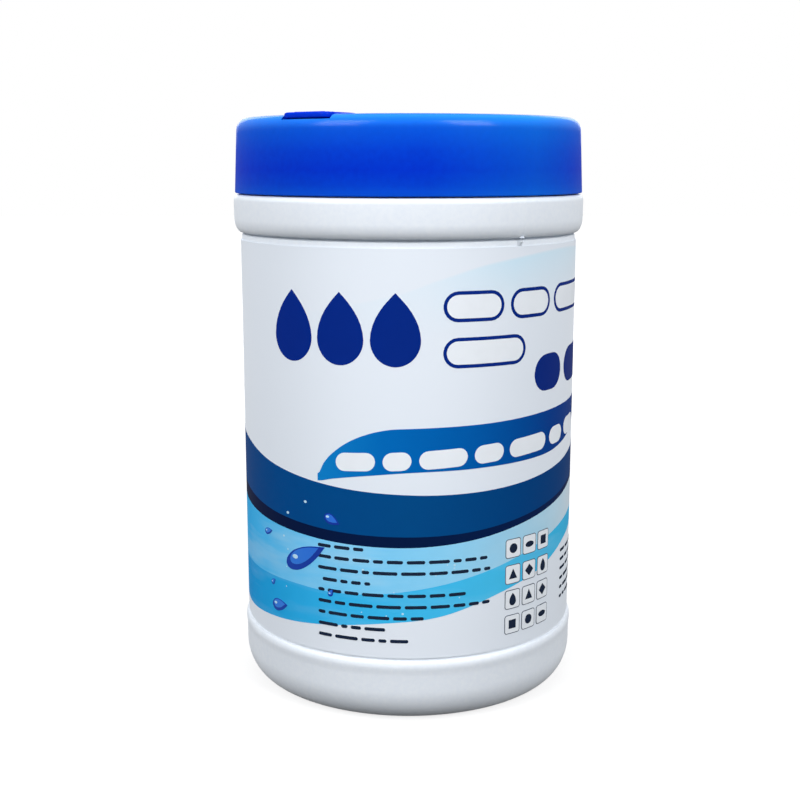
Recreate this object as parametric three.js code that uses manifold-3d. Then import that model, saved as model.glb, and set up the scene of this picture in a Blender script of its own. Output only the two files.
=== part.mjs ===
// Canister of wet wipes: a blow-moulded canister with a wrap-around label and a roll of wipes inside,
// under a press-fit lid with a flip cover over its dispensing orifice.
// Millimetres, +Z up, origin on the ground at the centre of the base. The front faces -Y.
import * as THREE from "three";
import { mergeVertices } from "three/addons/utils/BufferGeometryUtils.js";
import Module from "manifold-3d";

const wasm = await Module();
wasm.setup();

// Rounds
const ringSegments = 48; // facets round every part of revolution, a multiple of 4
const smallRingSegments = 32; // facets round the well, its orifice and the cover's seal ring
const arcSteps = 4; // facets in a quarter round of a profile
const seatGap = 0.3; // between parts that rest on or snap to each other
const filmGap = 0.08; // between the label and what lies on each side of it

// Canister
const collarRadius = 47.5; // the widest place
const collarProud = 2.0; // beyond the recessed label panel
const baseBeadProud = 1.05; // beyond the recessed label panel
const neckInset = 3.9; // of the neck from the collar
const lidInset = 0.36; // of the lid's skirt from the collar
const canisterWall = 1.1;
const baseWallInset = 0.2; // of the wall under the base bead from the bead
const baseCornerWidth = 6.5; // the corner is taller than it is wide
const baseCornerHeight = 9.0;
const baseBeadTop = 17.0;
const baseBeadRound = 1.7; // height of the bead's rounded shoulder, and of its run-out below
const standingRingWidth = 3.85; // flat ring on the ground, between the corner and the push-up
const pushUpHeight = 3.0;
const pushUpSlope = 3.0;
const panelTop = 124.1; // the groove under the collar
const collarHeight = 10.1; // above the groove
const collarUpperRound = 1.5;
const collarLowerRound = 3.9;
const mouthHeadroom = 3.2; // between the mouth and the underside of the lid's deck
const neckBeadHeight = 6.2; // middle of the snap bead above the collar
const neckBeadWidth = 2.2;
const neckBeadProud = 0.7;

// Label
const labelThickness = 0.25;
const labelLowerGap = 0.9; // to the base bead
const labelUpperGap = 1.9; // to the groove
const labelLapAngle = 7.5; // degrees of overlap at the back seam

// Ink fields, with heights as means round the canister
const inkThickness = 0.15;
const inkSeamGap = 7.5; // degrees that each field stays clear of the seam at each of its ends
const inkLift = 15.8; // of the lowest field above the label's lower edge
const blueWaveHeight = 7.5;
const skyFieldHeight = 13.4;
const darkBorderHeight = 2.8;
const navyBandHeight = 11.5;
const bandTopWave = [-7.6, -2.0, -0.5, 0.25]; // cosine and sine of one turn, then of two
const bandBottomWave = [-6.7, 1.2, -0.75, -0.2];
const borderBottomWave = [-6.3, 2.9, -0.95, -0.7];
const waveTopWave = [-3.6, 7.0, -1.5, -0.4];
const waveBottomWave = [-4.4, 10.6, 0, -1.5];

// Roll of wipes
const rollSideClearance = 1.4; // to the inside of the neck, so the roll can be put in
const rollHeadroom = 25.1; // between its upper end and the canister's mouth
const rollCoreRadius = 12;
const rollTurns = 6;
const turnSteps = 24;
const turnGapWidth = 0.6;
const turnGapDepth = 1.5;

// Lid
const lidDraft = 0.7; // the skirt's loss of radius from its lower edge to its shoulder
const lidWall = 1.4;
const lidHeight = 19.6;
const lidShoulderRadius = 3.2;
const lidBeadHeight = 3.1; // middle of the snap bead above the skirt's lower edge
const lidBeadWidth = 1.8;
const plugRingWall = 1.2;
const plugRingDepth = 7.4; // below the underside of the deck
const plugRingClearance = 0.4;
const ribCount = 12;
const ribThickness = 1.2;
const ribDepth = 6.0;

// Dispensing well and orifice, in the middle of the lid
const wellRadius = 12.5;
const wellDepth = 3.0; // below the floor of the cover's recess
const orificeRadius = 3.6;
const petalCount = 6;
const petalRise = 1.8;
const petalRootRadius = 9.8;
const slitWidth = 0.9;
const slitEndRadius = 9.2;

// Flip cover
const coverTurn = -124; // degrees: the way from the hinge to the thumb tab, from +X about +Z
const coverThickness = 1.6;
const coverHeadRadius = 17.5;
const coverSideGap = 0.5;
const tabWidth = 14.0;
const tabInset = 1.34; // of its end from the lid's skirt
const tabLength = 6.3; // beyond the recessed part of the cover
const tabProud = 0.5;
const tabThickness = 1.4;
const tabCornerRadius = 2.0;
const gripCount = 3; // ribs across the tab, for the thumb
const gripPitch = 1.7;
const gripInset = 2.55; // of the outermost one from the tab's end
const gripWidth = 0.7;
const gripProud = 0.15;
const sealRingClearance = 0.6;
const sealRingWall = 1.0;
const sealRingDepth = 2.2;

// Hinge of the flip cover
const hingeDistance = 23.0; // from the lid's centre
const barrelRadius = 1.7;
const barrelHalfLength = 8.0;
const barrelTopGap = 0.2;
const barrelSideGap = 0.3;
const pinRadius = 1.0;
const pinLength = 2.0;
const pinClearance = 0.25;
const pinSegments = 16;
const pocketRoom = 3.6; // behind the hinge axis, so that the cover can lean back
const pocketFloorGap = 0.7;
const pocketEndWall = 3.6;

// Worked out from the sizes above
const degrees = Math.PI / 180;
const panelRadius = collarRadius - collarProud;
const baseBeadRadius = panelRadius + baseBeadProud;
const neckRadius = collarRadius - neckInset;
const lidSkirtRadius = collarRadius - lidInset;
const baseWallRadius = baseBeadRadius - baseWallInset;
const pushUpRadius = baseWallRadius - baseCornerWidth - standingRingWidth - pushUpSlope;
const collarTop = panelTop + collarHeight;
const lidBottom = collarTop + seatGap;
const deckTop = lidBottom + lidHeight;
const deckUnderside = deckTop - lidWall;
const neckTop = deckUnderside - mouthHeadroom;
const neckInner = neckRadius - canisterWall;
const floorTop = pushUpHeight + canisterWall;
const narrowestInner = Math.min(neckInner, panelRadius - canisterWall, baseWallRadius - canisterWall);
const rollRadius = narrowestInner - rollSideClearance;
const labelInner = panelRadius + filmGap;
const labelOuter = labelInner + labelThickness;
const labelBottom = baseBeadTop + labelLowerGap;
const labelTop = panelTop - labelUpperGap;
const inkInner = labelOuter + filmGap;
const waveBottomHeight = labelBottom + inkLift;
const waveTopHeight = waveBottomHeight + blueWaveHeight;
const borderBottomHeight = waveTopHeight + skyFieldHeight;
const bandBottomHeight = borderBottomHeight + darkBorderHeight;
const bandTopHeight = bandBottomHeight + navyBandHeight;
const tabEnd = lidSkirtRadius - tabInset;
const coverNose = tabEnd - tabLength;
const recessFloor = deckTop - coverThickness - seatGap;
const wellFloor = recessFloor - wellDepth;
const hingeHeight = deckTop - barrelTopGap - barrelRadius;
const pocketFloor = hingeHeight - barrelRadius - pocketFloorGap;
const tabTop = deckTop + tabProud;
const notchFloor = tabTop - tabThickness - seatGap;

// The vertices of a closed geometry as a solid that can be joined and cut.
function solid(geometry) {
  const bare = geometry.clone();
  bare.deleteAttribute("normal");
  bare.deleteAttribute("uv");
  const merged = mergeVertices(bare, 1e-4);
  return new wasm.Manifold(
    new wasm.Mesh({
      numProp: 3,
      vertProperties: new Float32Array(merged.attributes.position.array),
      triVerts: new Uint32Array(merged.index.array),
    }),
  );
}

function geometryOf(shape) {
  const mesh = shape.getMesh();
  const geometry = new THREE.BufferGeometry();
  geometry.setAttribute("position", new THREE.BufferAttribute(mesh.vertProperties, mesh.numProp));
  geometry.setIndex(new THREE.BufferAttribute(mesh.triVerts, 1));
  geometry.computeVertexNormals();
  return geometry;
}

// A profile of [radius, height] points turned about the Z axis.
function turned(points, segments = ringSegments) {
  const profile = points.map(([radius, height]) => new THREE.Vector2(radius, height));
  const geometry = new THREE.LatheGeometry(profile, segments);
  geometry.rotateX(Math.PI / 2);
  return geometry;
}

// A ring of rectangular section.
function ring(inner, outer, bottom, top, segments) {
  return turned([[inner, bottom], [outer, bottom], [outer, top], [inner, top], [inner, bottom]], segments);
}

// Points of an elliptical arc of a profile, angles in degrees from the outward direction.
function arc(radius, height, radiusSpan, heightSpan, from, to, steps = arcSteps) {
  return Array.from({ length: steps + 1 }, (_, i) => {
    const angle = (from + ((to - from) * i) / steps) * degrees;
    return [radius + radiusSpan * Math.cos(angle), height + heightSpan * Math.sin(angle)];
  });
}

// A flat outline raised from one height to another.
function raised(outline, bottom, top, curveSegments = 8) {
  const geometry = new THREE.ExtrudeGeometry(outline, {
    depth: top - bottom,
    bevelEnabled: false,
    curveSegments,
  });
  geometry.translate(0, 0, bottom);
  return geometry;
}

function block(xFrom, xTo, yFrom, yTo, zFrom, zTo) {
  const geometry = new THREE.BoxGeometry(xTo - xFrom, yTo - yFrom, zTo - zFrom);
  geometry.translate((xFrom + xTo) / 2, (yFrom + yTo) / 2, (zFrom + zTo) / 2);
  return geometry;
}

// A rod along Y, across the cover.
function crossRod(radius, yFrom, yTo) {
  const geometry = new THREE.CylinderGeometry(radius, radius, yTo - yFrom, pinSegments);
  geometry.translate(-hingeDistance, (yFrom + yTo) / 2, hingeHeight);
  return geometry;
}

// Blow-moulded canister: one wall that follows the outside all the way from the base to the mouth.
function canisterShape() {
  const wall = canisterWall;
  const cornerCentre = baseWallRadius - baseCornerWidth;
  const cornerInnerWidth = baseCornerWidth - wall;
  const cornerInnerHeight = baseCornerHeight - wall;
  const beadShoulder = baseBeadTop - baseBeadRound;
  const collarLow = panelTop + collarLowerRound;
  const collarHigh = collarTop - collarUpperRound;
  const beadMiddle = collarTop + neckBeadHeight;
  const outside = [
    [0, pushUpHeight],
    [pushUpRadius, pushUpHeight],
    [pushUpRadius + pushUpSlope, 0],
    ...arc(cornerCentre, baseCornerHeight, baseCornerWidth, baseCornerHeight, -90, 0),
    [baseWallRadius, beadShoulder - baseBeadRound],
    ...arc(panelRadius, beadShoulder, baseBeadProud, baseBeadRound, 0, 90, 3),
    [panelRadius, panelTop],
    ...arc(panelRadius, collarLow, collarProud, collarLowerRound, -90, 0).slice(1),
    ...arc(collarRadius - collarUpperRound, collarHigh, collarUpperRound, collarUpperRound, 0, 90, 3),
    [neckRadius, collarTop],
    [neckRadius, beadMiddle - neckBeadWidth / 2],
    [neckRadius + neckBeadProud, beadMiddle - neckBeadWidth / 4],
    [neckRadius + neckBeadProud, beadMiddle + neckBeadWidth / 4],
    [neckRadius, beadMiddle + neckBeadWidth / 2],
    [neckRadius, neckTop],
  ];
  const inside = [
    [neckInner, neckTop],
    [neckInner, collarTop - wall],
    [collarRadius - collarUpperRound, collarTop - wall],
    [collarRadius - wall, collarHigh - wall / 2],
    [collarRadius - wall, collarLow],
    [panelRadius + collarProud / 2 - wall, panelTop + wall],
    [panelRadius - wall, panelTop],
    [panelRadius - wall, baseBeadTop + wall / 2],
    [baseWallRadius - wall, beadShoulder],
    ...arc(cornerCentre, baseCornerHeight, cornerInnerWidth, cornerInnerHeight, 0, -90, 3),
    [pushUpRadius + pushUpSlope - wall / 3, wall],
    [pushUpRadius - wall / 3, floorTop],
    [0, floorTop],
  ];
  return turned([...outside, ...inside]);
}

// Wrap-around label: a ring of film whose end laps over its start at the back.
function labelShape() {
  const band = solid(ring(labelInner, labelOuter, labelBottom, labelTop));
  const lap = (labelLapAngle * degrees) / 2;
  const lapInner = labelOuter - labelThickness / 2;
  const lapOuter = labelOuter + labelThickness;
  const lapOutline = new THREE.Shape();
  lapOutline.moveTo(lapInner * Math.sin(lap), lapInner * Math.cos(lap));
  lapOutline.lineTo(lapOuter * Math.sin(lap), lapOuter * Math.cos(lap));
  lapOutline.lineTo(-lapOuter * Math.sin(lap), lapOuter * Math.cos(lap));
  lapOutline.lineTo(-lapInner * Math.sin(lap), lapInner * Math.cos(lap));
  lapOutline.closePath();
  return geometryOf(band.add(solid(raised(lapOutline, labelBottom, labelTop))));
}

// The edge of an ink field: a wave round the label, from a mean height and two harmonics.
function wave(mean, [cos1, sin1, cos2, sin2]) {
  return (angle) => {
    const turn = angle * degrees;
    const once = cos1 * Math.cos(turn) + sin1 * Math.sin(turn);
    const twice = cos2 * Math.cos(2 * turn) + sin2 * Math.sin(2 * turn);
    return mean + once + twice;
  };
}

const bandTopEdge = wave(bandTopHeight, bandTopWave);
const bandBottomEdge = wave(bandBottomHeight, bandBottomWave);
const borderBottomEdge = wave(borderBottomHeight, borderBottomWave);
const waveTopEdge = wave(waveTopHeight, waveTopWave);
const waveBottomEdge = wave(waveBottomHeight, waveBottomWave);

// Where a field of ink has its corners: at both its ends, and between them where the label has its own.
function fieldAngles([fromAngle, toAngle]) {
  const facet = 360 / ringSegments;
  const angles = [fromAngle];
  for (let i = Math.floor(fromAngle / facet) + 1; i * facet < toAngle - facet / 8; i++) {
    angles.push(i * facet);
  }
  angles.push(toAngle);
  return angles;
}

// A thin field of ink between two edges, over a range of angles from the front.
function inkField(lowEdge, highEdge, range) {
  const angles = fieldAngles(range);
  const steps = angles.length - 1;
  const positions = [];
  const indices = [];
  for (const angle of angles) {
    const x = Math.sin(angle * degrees);
    const y = -Math.cos(angle * degrees);
    for (const radius of [inkInner, inkInner + inkThickness]) {
      positions.push(x * radius, y * radius, lowEdge(angle));
      positions.push(x * radius, y * radius, highEdge(angle));
    }
  }
  const corners = 4; // at each angle
  const quad = (a, b, c, d) => indices.push(a, b, c, a, c, d);
  for (let i = 0; i < steps; i++) {
    const [innerLow, innerHigh, outerLow, outerHigh] = [0, 1, 2, 3].map((k) => corners * i + k);
    quad(outerLow, outerLow + corners, outerHigh + corners, outerHigh);
    quad(innerLow, innerHigh, innerHigh + corners, innerLow + corners);
    quad(innerLow, innerLow + corners, outerLow + corners, outerLow);
    quad(innerHigh, outerHigh, outerHigh + corners, innerHigh + corners);
  }
  const last = corners * steps;
  quad(0, 2, 3, 1);
  quad(last, last + 1, last + 3, last + 2);
  const geometry = new THREE.BufferGeometry();
  geometry.setAttribute("position", new THREE.Float32BufferAttribute(positions, 3));
  geometry.setIndex(indices);
  geometry.computeVertexNormals();
  return geometry;
}

// The swoosh in the middle of the label rises out of a point on the left and closes again at the right.
const swooshFrom = -30;
const swooshTo = 90;
const swooshOpening = 8; // degrees in which its upper edge gains most of its height
const swooshHeight = 10.2; // between its edges, where it is open
const swooshTipHeight = 2.0; // between its edges at the point
const swooshTipDrop = 5.3; // of the point below the navy band's mean upper edge
const swooshDrop = 1.7; // of its lower edge below the same, where it is open
const swooshTopSlope = 0.025;
const swooshClosing = 50; // the angle from which its lower edge turns up
const swooshClosingRise = 0.0073;
const swooshBottomStart = bandTopHeight - swooshTipDrop;
const swooshBottomLevel = bandTopHeight - swooshDrop;
const swooshTopStart = swooshBottomStart + swooshTipHeight;
const swooshTopLevel = swooshBottomLevel + swooshHeight;

function swooshTop(angle) {
  const past = angle - swooshFrom;
  const opening = (swooshTopLevel - swooshTopStart) * Math.exp(-past / swooshOpening);
  return swooshTopLevel - opening + swooshTopSlope * past;
}

function swooshBottom(angle) {
  const past = angle - swooshFrom;
  const opening = (swooshBottomLevel - swooshBottomStart) * Math.exp(-past / (2 * swooshOpening));
  const closing = swooshClosingRise * Math.max(0, angle - swooshClosing) ** 2;
  return swooshBottomLevel - opening + closing;
}

// Roll of wipes with its turns as a spiral groove in the upper end.
function rollShape() {
  const bottom = floorTop + seatGap;
  const top = neckTop - rollHeadroom;
  const body = solid(ring(rollCoreRadius, rollRadius, bottom, top));
  const pitch = (rollRadius - rollCoreRadius) / (rollTurns + 1);
  const steps = rollTurns * turnSteps;
  const outer = [];
  const inner = [];
  for (let i = 0; i <= steps; i++) {
    const angle = (i / turnSteps) * 2 * Math.PI;
    const radius = rollCoreRadius + pitch / 2 + (pitch * i) / turnSteps;
    for (const [list, side] of [[outer, 1], [inner, -1]]) {
      const reach = radius + (side * turnGapWidth) / 2;
      list.push(new THREE.Vector2(reach * Math.cos(angle), reach * Math.sin(angle)));
    }
  }
  const gap = new THREE.Shape([...outer, ...inner.reverse()]);
  return geometryOf(body.subtract(solid(raised(gap, top - turnGapDepth, top + turnGapDepth))));
}

// The outline of the flip cover from above: a round head that tapers to a narrow nose at +X,
// and runs back to the hinge as wide as the hinge barrel.
function tongue(grow, back) {
  const radius = coverHeadRadius + grow;
  const noseX = coverNose + grow;
  const noseY = tabWidth / 2 + grow;
  const toNose = Math.atan2(noseY, noseX);
  const tangent = toNose + Math.acos(radius / Math.hypot(noseX, noseY));
  const barrelY = barrelHalfLength + grow;
  const backTurn = Math.PI - Math.asin(barrelY / radius);
  const outline = new THREE.Shape();
  outline.moveTo(noseX, -noseY);
  outline.lineTo(noseX, noseY);
  outline.absarc(0, 0, radius, tangent, backTurn, false);
  outline.lineTo(back, barrelY);
  outline.lineTo(back, -barrelY);
  outline.absarc(0, 0, radius, -backTurn, -tangent, false);
  outline.closePath();
  return outline;
}

// The thumb tab at the end of the cover, or its notch in the lid, with rounded outer corners.
function tabOutline(grow, from, end) {
  const halfWidth = tabWidth / 2 + grow;
  const corner = tabCornerRadius;
  const outline = new THREE.Shape();
  outline.moveTo(from, -halfWidth);
  outline.lineTo(end - corner, -halfWidth);
  outline.absarc(end - corner, -halfWidth + corner, corner, -Math.PI / 2, 0, false);
  outline.absarc(end - corner, halfWidth - corner, corner, 0, Math.PI / 2, false);
  outline.lineTo(from, halfWidth);
  outline.closePath();
  return outline;
}

// Lid shell in one turned profile: skirt with snap bead, shoulder, deck and the ring that plugs the mouth.
function lidShell() {
  const shoulderCentre = deckTop - lidShoulderRadius;
  const upperRadius = lidSkirtRadius - lidDraft;
  const shoulderInner = lidShoulderRadius - lidWall;
  const beadMiddle = lidBottom + lidBeadHeight;
  const beadRadius = neckRadius + neckBeadProud + seatGap;
  const skirtInner = lidSkirtRadius - lidWall;
  const plugOuter = neckInner - plugRingClearance;
  const plugBottom = deckUnderside - plugRingDepth;
  const centreRadius = upperRadius - lidShoulderRadius;
  return turned([
    [skirtInner, lidBottom],
    [lidSkirtRadius, lidBottom],
    ...arc(centreRadius, shoulderCentre, lidShoulderRadius, lidShoulderRadius, 0, 90, 5),
    [0, deckTop],
    [0, deckUnderside],
    [plugOuter - plugRingWall, deckUnderside],
    [plugOuter - plugRingWall, plugBottom],
    [plugOuter - plugRingWall / 3, plugBottom],
    [plugOuter, plugBottom + plugRingWall],
    [plugOuter, deckUnderside],
    ...arc(centreRadius, shoulderCentre, shoulderInner, shoulderInner, 90, 0, 3),
    [skirtInner, beadMiddle + lidBeadWidth / 2],
    [beadRadius, beadMiddle + lidBeadWidth / 4],
    [beadRadius, beadMiddle - lidBeadWidth / 4],
    [skirtInner, beadMiddle - lidBeadWidth / 2],
    [skirtInner, lidBottom],
  ]);
}

// The floor of the dispensing well, with slits that leave pointed petals round the orifice.
function orificeShape() {
  const floorUnder = wellFloor - lidWall;
  const profile = [
    [orificeRadius, floorUnder + petalRise],
    [petalRootRadius, floorUnder],
    [wellRadius + lidWall, floorUnder],
    [wellRadius + lidWall, recessFloor],
    [wellRadius, recessFloor],
    [wellRadius, wellFloor],
    [petalRootRadius, wellFloor],
    [orificeRadius, wellFloor + petalRise],
    [orificeRadius, floorUnder + petalRise],
  ];
  const floor = solid(turned(profile, smallRingSegments));
  let cut = floor;
  for (let i = 0; i < petalCount; i++) {
    const slit = block(0, slitEndRadius, -slitWidth / 2, slitWidth / 2, floorUnder - lidWall, recessFloor);
    slit.rotateZ((2 * Math.PI * i) / petalCount);
    cut = cut.subtract(solid(slit));
  }
  return cut;
}

// Lid: the shell with its recess for the cover, the well, the hinge pocket and the ribs inside.
function lidShape() {
  const inDeck = deckUnderside + lidWall / 2;
  const aboveDeck = deckTop + lidWall;
  const trayOutline = tongue(coverSideGap + lidWall, -hingeDistance);
  const tray = solid(raised(trayOutline, recessFloor - lidWall, inDeck));
  const pocketWidth = barrelHalfLength + barrelSideGap;
  const hingeBlock = solid(
    block(
      -hingeDistance - pocketRoom - lidWall,
      -hingeDistance + pocketRoom,
      -pocketWidth - pocketEndWall,
      pocketWidth + pocketEndWall,
      pocketFloor - lidWall,
      inDeck,
    ),
  );
  const pocketBack = -hingeDistance - pocketRoom;
  const pocketFront = -hingeDistance + barrelRadius + coverSideGap;
  const pocket = solid(block(pocketBack, pocketFront, -pocketWidth, pocketWidth, pocketFloor, aboveDeck));
  const pinReach = pocketWidth + pinLength;
  const pinHoles = solid(crossRod(pinRadius + pinClearance, -pinReach, pinReach));
  const recess = solid(raised(tongue(coverSideGap, -hingeDistance), recessFloor, aboveDeck));
  const notchStart = coverNose - tabCornerRadius;
  const notchEnd = lidSkirtRadius + tabCornerRadius;
  const notch = solid(raised(tabOutline(coverSideGap, notchStart, notchEnd), notchFloor, aboveDeck));
  const wellMouth = new THREE.CylinderGeometry(wellRadius, wellRadius, 2 * lidWall, smallRingSegments);
  wellMouth.rotateX(Math.PI / 2);
  wellMouth.translate(0, 0, recessFloor - lidWall / 2);
  let lid = solid(lidShell());
  const plugInner = neckInner - plugRingClearance - plugRingWall;
  const ribOuter = plugInner + plugRingWall / 2;
  const ribHalf = ribThickness / 2;
  for (let i = 0; i < ribCount; i++) {
    const rib = block(plugInner - ribDepth, ribOuter, -ribHalf, ribHalf, deckUnderside - ribDepth, inDeck);
    rib.rotateZ((2 * Math.PI * (i + 0.5)) / ribCount);
    lid = lid.add(solid(rib));
  }
  return lid
    .add(tray)
    .add(hingeBlock)
    .subtract(recess)
    .subtract(notch)
    .subtract(solid(wellMouth))
    .add(orificeShape())
    .subtract(pocket)
    .subtract(pinHoles);
}

// Flip cover: plate, thumb tab, hinge barrel with its two pins, and the seal ring under its head.
function coverShape() {
  const plate = solid(raised(tongue(0, -hingeDistance), deckTop - coverThickness, deckTop));
  let tab = solid(raised(tabOutline(0, coverNose - tabWidth / 3, tabEnd), tabTop - tabThickness, tabTop));
  const gripHalf = tabWidth / 3;
  for (let i = 0; i < gripCount; i++) {
    const middle = tabEnd - gripInset - i * gripPitch;
    const start = middle - gripWidth / 2;
    const end = middle + gripWidth / 2;
    tab = tab.add(solid(block(start, end, -gripHalf, gripHalf, tabTop - gripWidth, tabTop + gripProud)));
  }
  const barrel = solid(crossRod(barrelRadius, -barrelHalfLength, barrelHalfLength));
  const pins = solid(crossRod(pinRadius, -barrelHalfLength - pinLength, barrelHalfLength + pinLength));
  const sealOuter = wellRadius - sealRingClearance;
  const sealBottom = deckTop - coverThickness - sealRingDepth;
  const sealTop = deckTop - coverThickness / 2;
  const seal = solid(ring(sealOuter - sealRingWall, sealOuter, sealBottom, sealTop, smallRingSegments));
  return geometryOf(plate.add(tab).add(barrel).add(pins).add(seal));
}

function material(color, roughness) {
  return new THREE.MeshStandardMaterial({ color, roughness, metalness: 0 });
}

const whitePlastic = material(0xe9eef2, 0.45);
const labelFilm = material(0xeaf2f7, 0.3);
const navyInk = material(0x083f7a, 0.3);
const darkNavyInk = material(0x0a2c5c, 0.3);
const brightBlueInk = material(0x0e6fb8, 0.3);
const skyInk = material(0x5cb8ea, 0.3);
const midBlueInk = material(0x1b8fd0, 0.3);
const wipeFabric = material(0xf4f4f0, 0.95);
const bluePlastic = material(0x0437c8, 0.35);

function mesh(name, geometry, finish) {
  const made = new THREE.Mesh(geometry, finish);
  made.name = name;
  return made;
}

const fieldRange = [inkSeamGap - 180, 180 - inkSeamGap];
const packet = new THREE.Group();
packet.add(
  mesh("canister", canisterShape(), whitePlastic),
  mesh("label", labelShape(), labelFilm),
  mesh("wipes_roll", rollShape(), wipeFabric),
  mesh("ink_sky_field", inkField(waveTopEdge, borderBottomEdge, fieldRange), skyInk),
  mesh("ink_blue_wave", inkField(waveBottomEdge, waveTopEdge, fieldRange), midBlueInk),
  mesh("ink_dark_border", inkField(borderBottomEdge, bandBottomEdge, fieldRange), darkNavyInk),
  mesh("ink_navy_band", inkField(bandBottomEdge, bandTopEdge, fieldRange), navyInk),
  mesh("ink_swoosh", inkField(swooshBottom, swooshTop, [swooshFrom, swooshTo]), brightBlueInk),
);

const lidGroup = new THREE.Group();
lidGroup.rotation.z = coverTurn * degrees;
lidGroup.add(
  mesh("lid", geometryOf(lidShape()), bluePlastic),
  mesh("flip_cover", coverShape(), bluePlastic),
);
packet.add(lidGroup);

export default packet;
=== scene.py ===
"""Canister of wet wipes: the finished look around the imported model.

The shapes are given in millimetres and become metres in Shell.place(). Materials and studio work in metres.
The front of the label faces -Y. An angle psi, in degrees, runs round the canister from the front and is
positive towards +X.
"""

import math
import random

import bpy
from mathutils import Matrix, Vector


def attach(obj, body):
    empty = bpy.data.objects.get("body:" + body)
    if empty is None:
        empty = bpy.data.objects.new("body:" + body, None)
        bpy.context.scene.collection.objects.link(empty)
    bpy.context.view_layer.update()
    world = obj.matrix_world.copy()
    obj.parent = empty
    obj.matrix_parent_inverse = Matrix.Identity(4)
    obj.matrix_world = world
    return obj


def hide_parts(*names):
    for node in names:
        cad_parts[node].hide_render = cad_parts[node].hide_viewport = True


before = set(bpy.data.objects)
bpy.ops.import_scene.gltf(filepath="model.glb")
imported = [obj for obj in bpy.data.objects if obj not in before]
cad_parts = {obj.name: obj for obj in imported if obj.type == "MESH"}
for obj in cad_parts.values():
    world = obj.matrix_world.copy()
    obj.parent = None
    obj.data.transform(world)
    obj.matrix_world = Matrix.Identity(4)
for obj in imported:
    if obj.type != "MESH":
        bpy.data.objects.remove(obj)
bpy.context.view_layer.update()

MM = 0.001

# Stations round a turned piece, sides of a rod, and the angles above which an edge is shaded sharp
RING = 240
ROD_SIDES = 48
SHARP = 35.0
SHARP_MOULDING = 28.0
SHARP_ROLL = 60.0
SHARP_NONE = 180.0

# Canister
WALL = 1.1
PANEL_R = 45.5
BASE_R = 46.55
BASE_WALL = BASE_R - 0.2
CORNER_WIDE = 6.5
CORNER_TALL = 9.0
BASE_TOP = 17.0
BEAD_ROUND = 1.7
PUSH_UP = 3.0
PUSH_UP_R = 33.0
PUSH_UP_SLOPE = 3.0
PANEL_TOP = 124.1
COLLAR_R = 47.5
COLLAR_TOP = 134.2
COLLAR_UPPER = 1.5
COLLAR_LOWER = 3.9
NECK_R = 43.6
NECK_HEIGHT = 15.3
NECK_BEAD_AT = 6.2
NECK_BEAD_WIDTH = 2.2
NECK_BEAD_PROUD = 0.7
MOUTH_ROUND = 0.4

# Parting line of the mould and the nub in the groove: angle, rise, and half width in degrees
PARTING_PSI = 37.0
PARTING_PROUD = 0.07
PARTING_HALF = 0.45
NUB_PROUD = 1.3
NUB_HALF = 1.1

# Label and the layers of print on it
LABEL_IN = PANEL_R + 0.08
LABEL_OUT = LABEL_IN + 0.25
LABEL_LOW = 17.9
LABEL_HIGH = 122.2
LAP_HALF = 3.75
LAP_SLOPE = 0.1
LAYER = 0.03
INK_IN = LABEL_OUT - 0.02
MM_PER_DEGREE = LABEL_OUT * math.pi / 180
FIELD_END = 172.5

# Roll
ROLL_R = NECK_R - WALL - 1.4
ROLL_CORE = 12.0
ROLL_LOW = PUSH_UP + WALL + 0.3
ROLL_HIGH = ROLL_LOW + 120.0
ROLL_TURNS = 22
ROLL_SIDES = 180
ROWS_PER_TURN = 6
RIDGE = 0.45
SWELL = 0.25
END_DROP = 0.7
END_EDGE = 0.8

# Lid
SEAT = 0.3
LID_R = 47.14
LID_DRAFT = 0.7
LID_WALL = 1.4
LID_LOW = COLLAR_TOP + SEAT
DECK = LID_LOW + 19.6
DECK_UNDER = DECK - LID_WALL
SHOULDER_R = 3.2
LIP_ROUND = 0.35
LID_BEAD_AT = 3.1
LID_BEAD_WIDTH = 1.8
PLUG_R = NECK_R - WALL - 0.4
PLUG_WALL = 1.2
PLUG_DEPTH = 7.4
RIB_COUNT = 12
RIB_THICK = 1.2
RIB_DEPTH = 6.0

# Well, orifice and cover
COVER_TURN = -124.0
COVER_THICK = 1.6
HEAD_R = 17.5
HEAD_POINTS = 22
SIDE_GAP = 0.5
NOSE = 39.5
TAB_HALF = 7.0
TAB_END = 45.8
TAB_PROUD = 0.5
TAB_THICK = 1.4
TAB_CORNER = 2.0
GRIP_COUNT = 3
GRIP_FIRST = 2.55
GRIP_PITCH = 1.7
GRIP_HALF = 0.35
GRIP_REACH = 4.6
RECESS_RIM = 0.35
TAB_RIM = 0.3
RIM_STEPS = 4
RECESS_FLOOR = DECK - COVER_THICK - SEAT
WELL_R = 12.5
WELL_FLOOR = RECESS_FLOOR - 3.0
ORIFICE_R = 3.6
PETALS = 6
PETAL_RISE = 1.8
PETAL_ROOT = 9.8
SLIT = 0.9
SLIT_END = 9.2
SEAL_OUT = WELL_R - 0.6
SEAL_WALL = 1.0
SEAL_DEPTH = 2.2
HINGE_AT = 23.0
BARREL_R = 1.7
BARREL_HALF = 8.0
PIN_R = 1.0
PIN_LENGTH = 2.0
PIN_CLEARANCE = 0.25
HINGE_Z = DECK - 0.2 - BARREL_R
POCKET_ROOM = 3.6
POCKET_FLOOR = HINGE_Z - BARREL_R - 0.7
POCKET_HALF = BARREL_HALF + 0.3
POCKET_END = 3.6

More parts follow.
